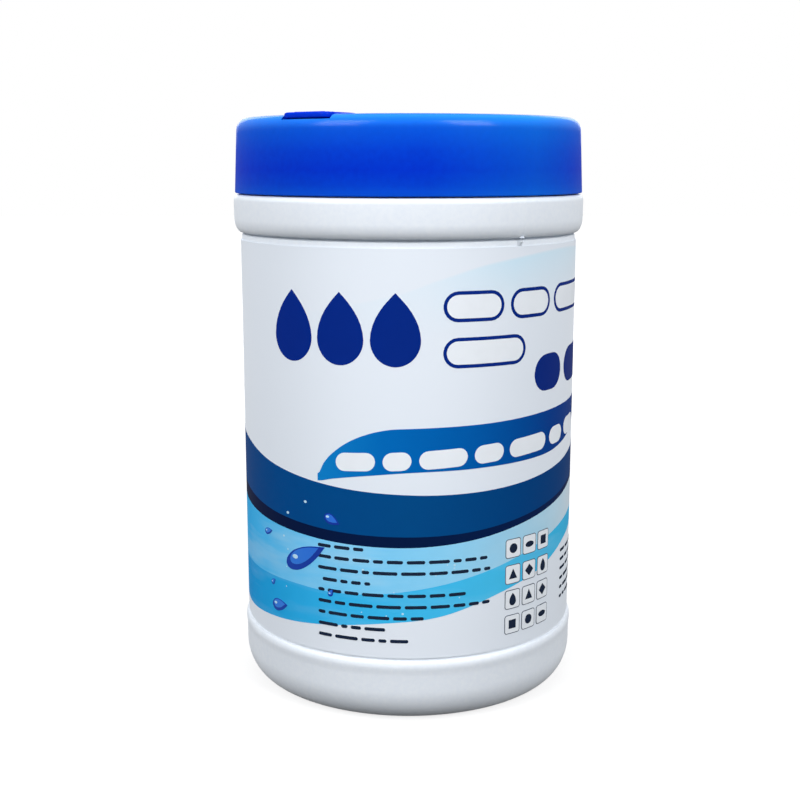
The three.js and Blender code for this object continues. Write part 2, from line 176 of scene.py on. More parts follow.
# Studio: lamps as name, place, aim, width, height and watts, in metres
LAMPS = [
    ("front_left", (-0.56, -0.51, 0.6), (0, 0, 0.13), 0.45, 0.6, 6.0),
    ("front_right", (0.51, -0.56, 0.59), (0, 0, 0.13), 0.4, 0.6, 5.8),
    ("behind", (0.0, 1.0, 0.45), (0, 0, 0.1), 0.9, 0.6, 4.5),
    ("overhead", (0.0, 0.1, 0.9), (0, 0, 0.15), 0.8, 0.6, 0.5),
]
SKY_TINT = (0.93, 0.96, 1.0, 1)
SKY_LOW = 0.27
SKY_HIGH = 0.5
FLOOR_REACH = 3000.0
CAMERA_LENS = 56.74
CAMERA_AT = (-1.68, -350.2, 142.8)
CAMERA_DOWN = 10.714
CAMERA_TURN = 0.1


# Shapes

def on_wall(psi, radius, z):
    """A point at an angle from the front."""
    turn = math.radians(psi)
    return (radius * math.sin(turn), -radius * math.cos(turn), z)


def ring_angles():
    return [360 * k / RING for k in range(RING)]


def shade(mesh, sharp):
    """Soft shading, except at edges sharper than an angle."""
    mesh.polygons.foreach_set("use_smooth", [True] * len(mesh.polygons))
    mesh.set_sharp_from_angle(angle=math.radians(sharp))
    mesh.update()


class Shell:
    """Collects closed surfaces in millimetres, then becomes one mesh piece in metres."""

    def __init__(self, *surfaces):
        self.points = []
        self.faces = []
        for points, faces in surfaces:
            self.add(points, faces)

    def add(self, points, faces):
        first = len(self.points)
        self.points += points
        self.faces += [tuple(first + i for i in face) for face in faces]

    def place(self, name, sharp=SHARP):
        mesh = bpy.data.meshes.new(name)
        mesh.from_pydata([Vector(p) * MM for p in self.points], [], self.faces)
        shade(mesh, sharp)
        piece = bpy.data.objects.new(name, mesh)
        bpy.context.scene.collection.objects.link(piece)
        return piece


def settle(piece, body, slot, look, *nodes):
    """Says what a piece rides on, its material and the nodes that it stands for. The slot is not used."""
    piece.data.materials.clear()
    piece.data.materials.append(look)
    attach(piece, body)
    if nodes:
        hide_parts(*nodes)


def arc(radius, height, wide, tall, start, end, steps=8):
    """Points of an elliptical arc of a profile, with angles from the outward direction."""
    turns = [math.radians(start + (end - start) * i / steps) for i in range(steps + 1)]
    return [(radius + wide * math.cos(t), height + tall * math.sin(t)) for t in turns]


def turned(profile, stations=None, proud=None):
    """A profile of (radius, height) turned round the axis: a closed one, or one that starts and ends on the axis."""
    stations = stations or ring_angles()
    points = []
    rows = []
    for index, (radius, z) in enumerate(profile):
        if radius < 1e-6:
            rows.append([len(points)] * len(stations))
            points.append((0.0, 0.0, z))
            continue
        rows.append(list(range(len(points), len(points) + len(stations))))
        for psi in stations:
            extra = proud(index, psi, radius, z) if proud else 0.0
            points.append(on_wall(psi, radius + extra, z))
    closed = profile[0][0] > 1e-6
    faces = []
    pairs = list(zip(rows, rows[1:])) + ([(rows[-1], rows[0])] if closed else [])
    for low, high in pairs:
        for k in range(len(stations)):
            following = (k + 1) % len(stations)
            face = tuple(dict.fromkeys([low[k], low[following], high[following], high[k]]))
            if len(face) > 2:
                faces.append(face)
    return points, faces


def loft(outlines):
    """Stacked outlines of equal length, each a list of 3D points, closed by flat ends."""
    count = len(outlines[0])
    points = [p for outline in outlines for p in outline]
    faces = []
    for level in range(len(outlines) - 1):
        base = level * count
        for k in range(count):
            following = (k + 1) % count
            faces.append((base + k, base + following, base + count + following, base + count + k))
    faces.append(tuple(reversed(range(count))))
    faces.append(tuple(range((len(outlines) - 1) * count, len(outlines) * count)))
    return points, faces


def block(low, high):
    outline = [(low[0], low[1]), (high[0], low[1]), (high[0], high[1]), (low[0], high[1])]
    return loft([[(x, y, z) for x, y in outline] for z in (low[2], high[2])])


def cross_rod(radius, half, rounding=0.0):
    """A rod along Y on the hinge axis, with rounded end edges."""
    turns = [-2 * math.pi * k / ROD_SIDES for k in range(ROD_SIDES)]
    tip = radius - rounding
    ends = [(-half, tip), (-half + rounding, radius), (half - rounding, radius), (half, tip)]
    return loft([[(-HINGE_AT + r * math.cos(t), y, HINGE_Z + r * math.sin(t)) for t in turns] for y, r in ends])


def turned_about(surface, degrees):
    points, faces = surface
    spin = Matrix.Rotation(math.radians(degrees), 3, "Z")
    return [tuple(spin @ Vector(p)) for p in points], faces


def moulding(name, base, steps):
    """Joins and cuts closed surfaces by (operation, surface) steps, and turns the result to the cover's side."""
    result = Shell(base).place(name, SHARP_NONE)
    for number, (operation, surface) in enumerate(steps):
        tool = Shell(surface).place(f"{name}_tool_{number}", SHARP_NONE)
        modifier = result.modifiers.new("cut", "BOOLEAN")
        modifier.operation = operation
        modifier.solver = "MANIFOLD"
        modifier.object = tool
        depsgraph = bpy.context.evaluated_depsgraph_get()
        mesh = bpy.data.meshes.new_from_object(result.evaluated_get(depsgraph))
        result.modifiers.clear()
        result.data = mesh
        bpy.data.objects.remove(tool)
    result.data.name = name
    result.data.transform(Matrix.Rotation(math.radians(COVER_TURN), 4, "Z"))
    shade(result.data, SHARP_MOULDING)
    return result


# Materials

def srgb(red, green, blue):
    """A colour given as 0 to 255, as Blender's linear red, green, blue and alpha."""
    def linear(value):
        value /= 255
        return value / 12.92 if value <= 0.04045 else ((value + 0.055) / 1.055) ** 2.4
    return (linear(red), linear(green), linear(blue), 1.0)


def grey(value):
    return (value, value, value, 1)


def node(made, kind, **values):
    """A new node; values set its sockets or, where it has no such socket, its settings."""
    item = made.node_tree.nodes.new(kind)
    for key, value in values.items():
        if key in item.inputs:
            item.inputs[key].default_value = value
        else:
            setattr(item, key, value)
    return item


def link(made, source, target):
    made.node_tree.links.new(source, target)


def sockets(made):
    return made.node_tree.nodes["Principled BSDF"].inputs


def material(name, colour, roughness):
    made = bpy.data.materials.new(name)
    made.use_nodes = True
    sockets(made)["Base Color"].default_value = colour
    sockets(made)["Roughness"].default_value = roughness
    return made


def varnish(made, weight, roughness):
    """All gloss comes from a thin clear coat, so that dark colours stay deep towards the outline."""
    sockets(made)["Specular IOR Level"].default_value = 0.0
    sockets(made)["Coat Weight"].default_value = weight
    sockets(made)["Coat Roughness"].default_value = roughness


def grain(made, scale, strength, distance, detail=3.0):
    """Fine relief, as a moulded or woven surface has; gives the noise behind it."""
    noise = node(made, "ShaderNodeTexNoise", Scale=scale, Detail=detail)
    bump = node(made, "ShaderNodeBump", Strength=strength, Distance=distance)
    link(made, node(made, "ShaderNodeTexCoord").outputs["Object"], noise.inputs["Vector"])
    link(made, noise.outputs["Fac"], bump.inputs["Height"])
    link(made, bump.outputs["Normal"], sockets(made)["Normal"])
    link(made, bump.outputs["Normal"], sockets(made)["Coat Normal"])
    return noise.outputs["Fac"]


def ramp(made, factor, stops):
    """A colour by (position, colour) stops; one stop alone gives one colour."""
    item = node(made, "ShaderNodeValToRGB")
    elements = item.color_ramp.elements
    if len(stops) == 1:
        stops = stops * 2
    while len(elements) < len(stops):
        elements.new(0.5)
    for element, (position, colour) in zip(elements, stops):
        element.position = position
        element.color = colour
    link(made, factor, item.inputs["Fac"])
    return item.outputs["Color"]


def levels(made, factor, stops):
    """A value by (position, value) stops."""
    return ramp(made, factor, [(position, grey(value)) for position, value in stops])


def math_node(made, operation, *values, clamp=False):
    item = node(made, "ShaderNodeMath", operation=operation, use_clamp=clamp)
    for socket, value in zip(item.inputs, values):
        if isinstance(value, (int, float)):
            socket.default_value = value
        else:
            link(made, value, socket)
    return item.outputs[0]


def mix(made, factor, first, second):
    """A mix of two colours, each a colour or a socket."""
    item = node(made, "ShaderNodeMix", data_type="RGBA")
    for name, value in (("Factor", factor), ("A", first), ("B", second)):
        socket = next(s for s in item.inputs if s.name == name and s.enabled)
        if hasattr(value, "links"):
            link(made, value, socket)
        else:
            socket.default_value = value
    return next(s for s in item.outputs if s.enabled)


def place_parts(made):
    """Sockets with X, Y and Z of a place on the surface, in metres."""
    parts = node(made, "ShaderNodeSeparateXYZ")
    link(made, node(made, "ShaderNodeTexCoord").outputs["Object"], parts.inputs[0])
    return parts.outputs["X"], parts.outputs["Y"], parts.outputs["Z"]


def psi_share(psi):
    """An angle from the front as 0 to 1, from -180 to 180 degrees."""
    return 0.5 + psi / 360


def wall_angle(made, x, y):
    """A socket with the angle from the front, as psi_share() gives it."""
    turn = math_node(made, "ARCTAN2", x, math_node(made, "MULTIPLY", y, -1.0))
    return math_node(made, "MULTIPLY_ADD", turn, 1 / (2 * math.pi), 0.5)


def round_wall(made, share, stops):
    """A value by (psi, value) stops."""
    return levels(made, share, [(psi_share(psi), value) for psi, value in stops])


def height_share(made, z, low, high):
    """A socket with the height as 0 at low and 1 at high."""
    span = high - low
    return math_node(made, "MULTIPLY_ADD", z, 1 / (span * MM), -low / span)


def blow_moulded():
    made = material("white_polyethylene", srgb(231, 237, 245), 0.5)
    varnish(made, 0.3, 0.3)
    sockets(made)["Subsurface Weight"].default_value = 0.1
    sockets(made)["Subsurface Scale"].default_value = 0.004
    sockets(made)["Subsurface Radius"].default_value = (1.0, 1.0, 1.0)
    noise = grain(made, 900, 0.12, 0.00005, 4.0)
    tone = ramp(made, noise, [(0.3, srgb(229, 236, 245)), (0.7, srgb(234, 240, 247))])
    link(made, tone, sockets(made)["Base Color"])
    return made


def printed(name, stops, streaks=0.0, gloss=0.06):
    """Ink with a colour that runs round the label, given as (psi, colour) stops, and faint streaks."""
    made = material(name, srgb(*stops[0][1]), 0.5)
    varnish(made, gloss, 0.22)
    noise = grain(made, 260, 0.05, 0.00004, 2.0)
    x, y, _ = place_parts(made)
    colour = ramp(made, wall_angle(made, x, y), [(psi_share(psi), srgb(*value)) for psi, value in stops])
    if streaks:
        mapping = node(made, "ShaderNodeMapping", Scale=(28, 28, 150), Rotation=(0, math.radians(22), 0))
        wash = node(made, "ShaderNodeTexNoise", Scale=1.0, Detail=3.0, Roughness=0.55)
        link(made, node(made, "ShaderNodeTexCoord").outputs["Object"], mapping.inputs["Vector"])
        link(made, mapping.outputs["Vector"], wash.inputs["Vector"])
        band = levels(made, wash.outputs["Fac"], [(0.48, 0.0), (0.68, streaks)])
        colour = mix(made, band, colour, srgb(196, 228, 245))
    tint = node(made, "ShaderNodeHueSaturation")
    link(made, math_node(made, "MULTIPLY_ADD", noise, 0.07, 0.965), tint.inputs["Value"])
    link(made, colour, tint.inputs["Color"])
    link(made, tint.outputs["Color"], sockets(made)["Base Color"])
    return made


def label_film():
    """The label's white ground, with a soft pale-blue sweep at the upper right."""
    made = material("label_white", srgb(230, 237, 246), 0.5)
    varnish(made, 0.3, 0.22)
    grain(made, 260, 0.05, 0.00004, 2.0)
    x, y, z = place_parts(made)
    share = wall_angle(made, x, y)
    edge = node(made, "ShaderNodeFloatCurve")
    curve = edge.mapping.curves[0]
    sweep = [(-60, 104), (-5, 111), (10, 115), (30, 119), (75, 121), (130, 114), (180, 108)]
    spots = [(psi_share(psi), (top - LABEL_LOW) / (LABEL_HIGH - LABEL_LOW)) for psi, top in sweep]
    curve.points[0].location = (0.0, spots[0][1])
    curve.points[1].location = spots[-1]
    for spot in spots[:-1]:
        curve.points.new(*spot)
    edge.mapping.update()
    link(made, share, edge.inputs["Value"])
    height = height_share(made, z, LABEL_LOW, LABEL_HIGH)
    below = math_node(made, "SUBTRACT", edge.outputs["Value"], height)
    fade = levels(made, below, [(0.0, 0.0), (0.006, 1.0), (0.14, 0.0)])
    reach = round_wall(made, share, [(-45, 0.0), (5, 0.25), (35, 1.0), (120, 0.3), (150, 0.0)])
    amount = math_node(made, "MULTIPLY", math_node(made, "MULTIPLY", fade, reach), 0.8)
    link(made, mix(made, amount, srgb(230, 237, 246), srgb(204, 234, 250)), sockets(made)["Base Color"])
    return made


def cover_plastic(name="blue_cover_plastic"):
    """Blue polypropylene."""
    made = material(name, srgb(0, 50, 203), 0.5)
    varnish(made, 0.08, 0.18)
    noise = grain(made, 700, 0.1, 0.00005, 4.0)
    tone = ramp(made, noise, [(0.3, srgb(0, 47, 200)), (0.7, srgb(0, 53, 207))])
    link(made, tone, sockets(made)["Base Color"])
    return made


def lid_plastic():
    """The same blue with painted light: a painted highlight at the lip and along the shoulder, and a painted pool of
    light on the right side.
    """
    made = cover_plastic("blue_polypropylene")
    tone = sockets(made)["Base Color"].links[0].from_socket
    x, y, z = place_parts(made)
    across = math_node(made, "MULTIPLY", x, x)
    along = math_node(made, "MULTIPLY", y, y)
    radius = math_node(made, "SQRT", math_node(made, "ADD", across, along))
    outside = levels(made, math_node(made, "MULTIPLY", radius, 1 / 0.05), [(0.86, 0.0), (0.9, 1.0)])
    height = height_share(made, z, LID_LOW, DECK)
    # Painted highlight: the blue is lightened at the lip and along the shoulder, where lamps would shine on it
    thin = levels(made, height, [
        (0.0, 0.2), (0.14, 0.07), (0.32, 0.0), (0.55, 0.06), (0.82, 0.22), (0.94, 0.55), (1.0, 0.95)])
    # Painted light: a lighter band on the right side, as if a lamp lit it there
    painted_side_light = round_wall(made, wall_angle(made, x, y), [
        (-80, 0.03), (-30, 0.0), (5, 0.0), (42, 0.2), (62, 0.08), (85, 0.0)])
    # The painted highlight and the painted side light added together, on the skirt and shoulder only
    through = math_node(made, "ADD", thin, painted_side_light, clamp=True)
    amount = math_node(made, "MULTIPLY", outside, through)
    # Both painted lights mix the lid's blue towards a light blue
    link(made, mix(made, amount, tone, srgb(22, 146, 250)), sockets(made)["Base Color"])
    gloss = levels(made, height, [(0.8, 0.08), (0.9, 0.3), (0.985, 0.3), (1.0, 0.12)])
    link(made, gloss, sockets(made)["Coat Weight"])
    return made


def wipe_cloth():
    made = material("moist_non_woven", srgb(240, 241, 240), 0.75)
    sockets(made)["Sheen Weight"].default_value = 0.15
    noise = grain(made, 1400, 0.5, 0.0002, 5.0)
    tone = ramp(made, noise, [(0.35, srgb(228, 230, 230)), (0.65, srgb(244, 245, 244))])
    link(made, tone, sockets(made)["Base Color"])
    return made


# Canister

def canister():
    corner_r = BASE_WALL - CORNER_WIDE
    shoulder = BASE_TOP - BEAD_ROUND
    collar_proud = COLLAR_R - PANEL_R
    collar_low = PANEL_TOP + COLLAR_LOWER
    collar_high = COLLAR_TOP - COLLAR_UPPER
    bead = COLLAR_TOP + NECK_BEAD_AT
    neck_top = COLLAR_TOP + NECK_HEIGHT
    neck_in = NECK_R - WALL
    floor = PUSH_UP + WALL
    foot_in = PUSH_UP_R + PUSH_UP_SLOPE
    push_up = [
        (0, PUSH_UP),
        (PUSH_UP_R - 1.0, PUSH_UP),
        *arc(PUSH_UP_R - 1.0, PUSH_UP - 1.2, 1.4, 1.2, 90, 25, 5),
        *arc(foot_in + 0.6, 1.0, 1.3, 1.0, 205, 270, 5)[:4],
    ]
    outside = push_up + [
        *arc(foot_in + 0.6, 1.0, 1.3, 1.0, 205, 270, 5)[4:],
        *arc(corner_r, CORNER_TALL, CORNER_WIDE, CORNER_TALL, -90, 0, 16),
        (BASE_WALL, shoulder - BEAD_ROUND - 0.6),
        (BASE_WALL + 0.03, shoulder - BEAD_ROUND + 0.2),
        (BASE_R - 0.07, shoulder - 0.7),
        *arc(PANEL_R + 0.3, shoulder, BASE_R - PANEL_R - 0.3, BEAD_ROUND, 0, 90, 8),
        *arc(PANEL_R + 0.3, BASE_TOP + 0.3, 0.3, 0.3, 270, 180, 4)[1:],
        (PANEL_R, LABEL_HIGH - 0.1),
        # the groove, undercut below the collar
        (PANEL_R, PANEL_TOP - 0.8),
        (PANEL_R - 0.12, PANEL_TOP - 0.5),
        (PANEL_R - 0.7, PANEL_TOP - 0.2),
        (PANEL_R - 0.8, PANEL_TOP + 0.4),
        (PANEL_R - 0.3, PANEL_TOP + 0.85),
        (PANEL_R + 0.35, PANEL_TOP + 0.7),
        *arc(PANEL_R, collar_low, collar_proud, COLLAR_LOWER, -72, 0, 12),
        *arc(COLLAR_R - COLLAR_UPPER, collar_high, COLLAR_UPPER, COLLAR_UPPER, 0, 90, 8),
        (NECK_R + 0.3, COLLAR_TOP),
        *arc(NECK_R + 0.3, COLLAR_TOP + 0.3, 0.3, 0.3, 270, 180, 3),
        *arc(NECK_R, bead, NECK_BEAD_PROUD, NECK_BEAD_WIDTH / 2, -90, 90, 10),
        (NECK_R, neck_top - MOUTH_ROUND),
        *arc(NECK_R - MOUTH_ROUND, neck_top - MOUTH_ROUND, MOUTH_ROUND, MOUTH_ROUND, 0, 90, 4),
    ]
    inside = [
        *arc(neck_in + MOUTH_ROUND, neck_top - MOUTH_ROUND, MOUTH_ROUND, MOUTH_ROUND, 90, 180, 4),
        (neck_in, COLLAR_TOP),
        *arc(neck_in + WALL, COLLAR_TOP, WALL, WALL, 180, 270, 5),
        (COLLAR_R - COLLAR_UPPER, COLLAR_TOP - WALL),
        *arc(COLLAR_R - COLLAR_UPPER, collar_high, COLLAR_UPPER - WALL, COLLAR_UPPER - WALL, 90, 0, 3),
        *arc(PANEL_R - WALL, collar_low, collar_proud, COLLAR_LOWER, 0, -25, 4),
        (PANEL_R - 0.35, PANEL_TOP + 1.75),
        (PANEL_R - 1.2, PANEL_TOP + 1.2),
        (PANEL_R - 1.5, PANEL_TOP + 0.4),
        (PANEL_R - 1.45, PANEL_TOP - 0.3),
        (PANEL_R - WALL, PANEL_TOP - 1.2),
        (PANEL_R - WALL, BASE_TOP + 0.6),
        (BASE_WALL - WALL, shoulder),
        *arc(corner_r, CORNER_TALL, CORNER_WIDE - WALL, CORNER_TALL - WALL, 0, -90, 12),
        (foot_in - 0.3, WALL),
        (PUSH_UP_R - 0.3, floor),
        (0, floor),
    ]
    stations = ring_angles()
    seams = (PARTING_PSI, PARTING_PSI + 180)
    for seam in seams:
        stations = [psi for psi in stations if abs(psi - seam) > NUB_HALF + 0.2]
        stations += [seam + offset for offset in (-NUB_HALF, -0.6, -0.3, 0.0, 0.3, 0.6, NUB_HALF)]
    stations.sort()

    def parting(index, psi, radius, z):
        """The thin raised line that the two mould halves leave on the outside, with a nub in the groove."""
        if not len(push_up) <= index < len(outside):
            return 0.0
        near = min(abs(psi - seam) for seam in seams)
        in_groove = LABEL_HIGH < z < PANEL_TOP + 0.3
        height, half = (NUB_PROUD, NUB_HALF) if in_groove else (PARTING_PROUD, PARTING_HALF)
        return height * max(0.0, 1 - near / half)

    return Shell(turned(outside + inside, stations, parting)).place("canister_body")


# Label and its print

def label():
    lap = LABEL_OUT - LABEL_IN
    stations = sorted(ring_angles() + [180 + LAP_HALF + LAP_SLOPE, 180 - LAP_HALF - LAP_SLOPE])

    def lapped(index, psi, radius, z):
        return lap if radius > LABEL_IN + 0.01 and abs(psi - 180) <= LAP_HALF else 0.0

    profile = [(LABEL_IN, LABEL_LOW), (LABEL_OUT, LABEL_LOW), (LABEL_OUT, LABEL_HIGH), (LABEL_IN, LABEL_HIGH)]
    return Shell(turned(profile, stations, lapped)).place("label_film")


def curve_through(front, back):
    """A smooth height for any psi through (psi, height) spots, which repeats round the label."""
    knots = sorted(front + back)
    knots = [(p - 360, z) for p, z in knots[-2:]] + knots + [(p + 360, z) for p, z in knots[:2]]

    def height(psi):
        for k in range(1, len(knots) - 2):
            (p1, z1), (p2, z2) = knots[k], knots[k + 1]
            if p1 <= psi <= p2:
                slope1 = (z2 - knots[k - 1][1]) / (p2 - knots[k - 1][0])
                slope2 = (knots[k + 2][1] - z1) / (knots[k + 2][0] - p1)
                t = (psi - p1) / (p2 - p1)
                span = p2 - p1
                return (
                    (2 * t**3 - 3 * t**2 + 1) * z1 + (t**3 - 2 * t**2 + t) * span * slope1
                    + (-2 * t**3 + 3 * t**2) * z2 + (t**3 - t**2) * span * slope2
                )
        return knots[1][1]

    return height


BAND_TOP = curve_through(
    [(-72, 69.2), (-50, 65.2), (-25, 62.3), (0, 61), (20, 60.9), (40, 61.8), (60, 63.7), (75, 65.8)],
    [(-140, 75.5), (-105, 73), (110, 70.5), (145, 74.5)])
BAND_LOW = curve_through(
    [(-72, 55.2), (-50, 52.4), (-25, 50.6), (0, 50.1), (20, 50.7), (40, 52.6), (60, 55.3), (70, 56.9)],
    [(-140, 62.5), (-105, 59.3), (110, 61.8), (145, 63.4)])
BORDER_LOW = curve_through(
    [(-70, 51), (-50, 49.2), (-25, 47.7), (0, 47.3), (20, 48.4), (40, 50.8), (60, 53.8), (75, 56.4)],
    [(-140, 58.5), (-105, 54.8), (110, 61.2), (145, 61.8)])
WAVE_TOP = curve_through(
    [(-74, 34.6), (-40, 34.5), (-25, 34.2), (-10, 34.9), (10, 37.2), (30, 40.5), (50, 44.3), (70, 47.5)],
    [(-140, 40.5), (-105, 36.5), (105, 50.8), (145, 48)])
WAVE_LOW = curve_through(
    [(-74, 22.3), (-50, 23.2), (-30, 24.9), (-10, 27.0), (10, 28.9), (30, 33.1), (50, 37.0), (70, 42)],
    [(-140, 31), (-105, 25.2), (105, 46.2), (145, 41.5)])
SWOOSH_TOP = curve_through(
    [(-30, 65.2), (-28, 68), (-25, 70.7), (-20, 73.7), (-14, 76), (-7, 77.5), (0, 77.9), (30, 78.5),
     (60, 79.5), (90, 80.4)],
    [(-60, 60), (120, 80.6)])
SWOOSH_LOW = curve_through(
    [(-30, 63.3), (-25, 64.2), (-15, 65.5), (0, 66.7), (20, 67.1), (50, 67.7), (60, 68.7), (70, 70.7),
     (80, 74), (90, 79.6)],
    [(-60, 62), (120, 80)])


def layer(level):
    """The outer radius of a layer of print."""
    return LABEL_OUT + LAYER * (level + 1)


def columns_shell(columns, top):
    """A thin closed layer on the label from (psi, low, high) columns."""
    points = []
    faces = []
    for psi, low, high in columns:
        for radius in (INK_IN, top):
            points += [on_wall(psi, radius, low), on_wall(psi, radius, high)]
    for k in range(len(columns) - 1):
        a = 4 * k
        b = a + 4
        faces += [
            (a + 2, b + 2, b + 3, a + 3),
            (a, a + 1, b + 1, b),
            (a, b, b + 2, a + 2),
            (a + 1, a + 3, b + 3, b + 1),
        ]
    last = 4 * (len(columns) - 1)
    faces += [(0, 2, 3, 1), (last, last + 1, last + 3, last + 2)]
    return points, faces


def field(low, high, start=-FIELD_END, end=FIELD_END, step=1.5):
    """Columns between two heights that run round the label."""
    count = math.ceil((end - start) / step)
    stations = [start + (end - start) * k / count for k in range(count + 1)]
    return [(psi, low(psi), high(psi)) for psi in stations]


def bar(level, start, end, middle, height, slope=0.0, corner=None):
    """A bar with rounded corners, from one psi to another; slope is its rise in mm per degree."""
    corner = height / 2 if corner is None else corner
    turn = corner / MM_PER_DEGREE
    columns = []
    for k in range(6):
        angle = math.radians(6 + 84 * k / 5)
        columns.append((start + turn * (1 - math.cos(angle)), height / 2 - corner + corner * math.sin(angle)))
    inner = end - start - 2 * turn
    parts = max(1, math.ceil(inner / 2.0))
    columns += [(start + turn + inner * k / parts, height / 2) for k in range(1, parts)]
    columns += [(start + end - psi, half) for psi, half in reversed(columns[:6])]
    centre = (start + end) / 2
    columns = [(psi, middle + slope * (psi - centre) - half, middle + slope * (psi - centre) + half)
               for psi, half in columns]
    return columns_shell(columns, layer(level))


def blob(level, psi0, z0, outline, rings=4):
    """A thin closed layer on the label with any outline of (across, up) points."""
    count = len(outline)
    points = []
    for radius in (layer(level), INK_IN):
        points.append(on_wall(psi0, radius, z0))
        for ring in range(1, rings + 1):
            share = ring / rings
            points += [on_wall(psi0 + x * share / MM_PER_DEGREE, radius, z0 + y * share) for x, y in outline]
    half = 1 + rings * count
    faces = []
    for k in range(count):
        following = (k + 1) % count
        faces.append((0, 1 + k, 1 + following))
        faces.append((half, half + 1 + following, half + 1 + k))
        for ring in range(rings - 1):
            a = 1 + ring * count
            b = half + a
            faces.append((a + k, a + count + k, a + count + following, a + following))
            faces.append((b + k, b + following, b + count + following, b + count + k))
        edge = 1 + (rings - 1) * count
        faces.append((edge + k, half + edge + k, half + edge + following, edge + following))
    return points, faces


def drop_outline(width, height, tilt=0.0, sharpness=1.0, count=40):
    """A water drop: round below, drawn to a point above, turned by tilt degrees."""
    lean = math.radians(tilt)
    outline = []
    for k in range(count):
        turn = -math.pi / 2 + 2 * math.pi * k / count
        up = math.sin(turn)
        pinch = (1 - up) ** (0.55 * sharpness) * (1 + 0.5 * up) if up > 0 else 1.0
        x = width / 2 * math.cos(turn) * pinch
        y = height * (0.36 if up < 0 else 0.64) * up - height * 0.14
        outline.append((x * math.cos(lean) - y * math.sin(lean), x * math.sin(lean) + y * math.cos(lean)))
    return outline


def disc_outline(width, height=None, count=28):
    height = height or width
    turns = [2 * math.pi * k / count for k in range(count)]
    return [(width / 2 * math.cos(t), height / 2 * math.sin(t)) for t in turns]


def print_fields():
    """The wide fields of colour, each in the place of its solid."""
    for name, slot, columns in (
            ("sky_field", "sky_ink", field(WAVE_TOP, BORDER_LOW)),
            ("blue_wave", "mid_blue_ink", field(WAVE_LOW, WAVE_TOP)),
            ("dark_border", "dark_navy_ink", field(BORDER_LOW, BAND_LOW)),
            ("navy_band", "navy_ink", field(BAND_LOW, BAND_TOP)),
            ("swoosh", "bright_blue_ink", field(SWOOSH_LOW, SWOOSH_TOP, -30.3, 90, 0.75))):
        piece = Shell(columns_shell(columns, layer(0))).place(f"print_{name}")
        settle(piece, "canister", slot, INKS[slot], f"ink_{name}")


def detail(shell, name, slot, ink):
    """Places a piece of print that stands for no solid."""
    settle(shell.place(f"print_{name}"), "canister", slot, INKS[ink])


# Bars in the place of words: lines as (height, first psi, last psi), then bar lengths and gaps in degrees
PRINT_LINES = [
    (46.4, -30.5, -14.5), (43.5, -30.5, 27.5), (40.5, -30.5, 29), (37.5, -28.8, -12.3), (34.6, -30.5, 18.5),
    (31.6, -30.5, 27), (28.6, -30.5, 4.8), (25.5, -30.5, -7.5), (22.5, -30.5, 0),
]
SIDE_LINES = [
    (38.5, 64.5, 92), (36, 64.5, 88), (33.4, 64.5, 95), (30.6, 64.5, 84), (28, 64.5, 90), (25.4, 64.5, 79),
]
WORD_SHORT = 2.2
WORD_LONG = 8.0
WORD_GAP = 1.15
LINE_REST = 1.2

# Larger shapes: drops by psi, filled and rimmed bars as (first psi, last psi, height), widths on the swoosh
NAVY_DROPS = (-39.8, -22.0, -4.2)
NAVY_BARS = [(44.5, 60.5, 89.4), (63.5, 88, 89.9)]
RIMMED_BARS = [(10.5, 31, 108), (33.5, 52, 108), (54.5, 86, 108.2), (10.5, 40, 96.6)]
BAR_RIM = 0.9
SWOOSH_BARS = (13, 9, 15.5, 10.5, 17, 9, 12)

# Boxes with plain shapes
BOX_PSI = (36.2, 43.6, 51.0)
BOX_Z = (44.6, 37.6, 30.8, 24.0)
BOX_SIDE = 5.2
BOX_RIM = 0.22

# Drops of water as (psi, height, width, length, tilt), and single specks as (psi, height)
WATER = [
    (-35.9, 42.4, 5.4, 14.6, -62), (-48.2, 26.9, 3.4, 6.6, -80), (-54.2, 46.2, 1.8, 4.0, -75),
    (-25.2, 53.4, 2.7, 4.8, -115), (-51.6, 32.8, 1.5, 2.2, -50), (-25.8, 34.0, 1.5, 2.2, -30),
]
SPECKS = ((-35.3, 57.1), (-43.2, 53.1))
SPRAY = 22


def word_bars(shell, lines, height, seed):
    dice = random.Random(seed)
    for z, start, end in lines:
        psi = start
        while psi < end - LINE_REST:
            width = min(dice.uniform(WORD_SHORT, WORD_LONG), end - psi)
            shell.add(*bar(1, psi, psi + width, z, height))
            psi += width + WORD_GAP


def print_shapes():
    """What stands in the place of words and figures."""
    words = Shell()
    word_bars(words, PRINT_LINES, 0.88, 11)
    word_bars(words, SIDE_LINES, 0.8, 12)
    detail(words, "small_bars", "dark_navy_ink", "small_print")

    filled = Shell(*(blob(0, psi, 102.4, drop_outline(12.6, 18.2), 6) for psi in NAVY_DROPS))
    for start, end, middle in NAVY_BARS:
        filled.add(*bar(0, start, end, middle, 9.6, 0.02))
    detail(filled, "navy_shapes", "navy_ink", "figure_navy")

    rims = Shell()
    whites = Shell()
    rim = BAR_RIM / MM_PER_DEGREE
    for start, end, middle in RIMMED_BARS:
        rims.add(*bar(0, start, end, middle, 7.6))
        whites.add(*bar(1, start + rim, end - rim, middle, 7.6 - 2 * BAR_RIM))
    psi = -23.6
    for width in SWOOSH_BARS:
        middle = 69.7 + 0.038 * (psi + width / 2) + max(0.0, psi - 50) * 0.05
        whites.add(*bar(1, psi, psi + width, middle, 4.7, 0.045))
        psi += width + 2.4
    detail(rims, "bar_rims", "navy_ink", "figure_navy")
    detail(whites, "white_bars", "label_film", "white_ink")


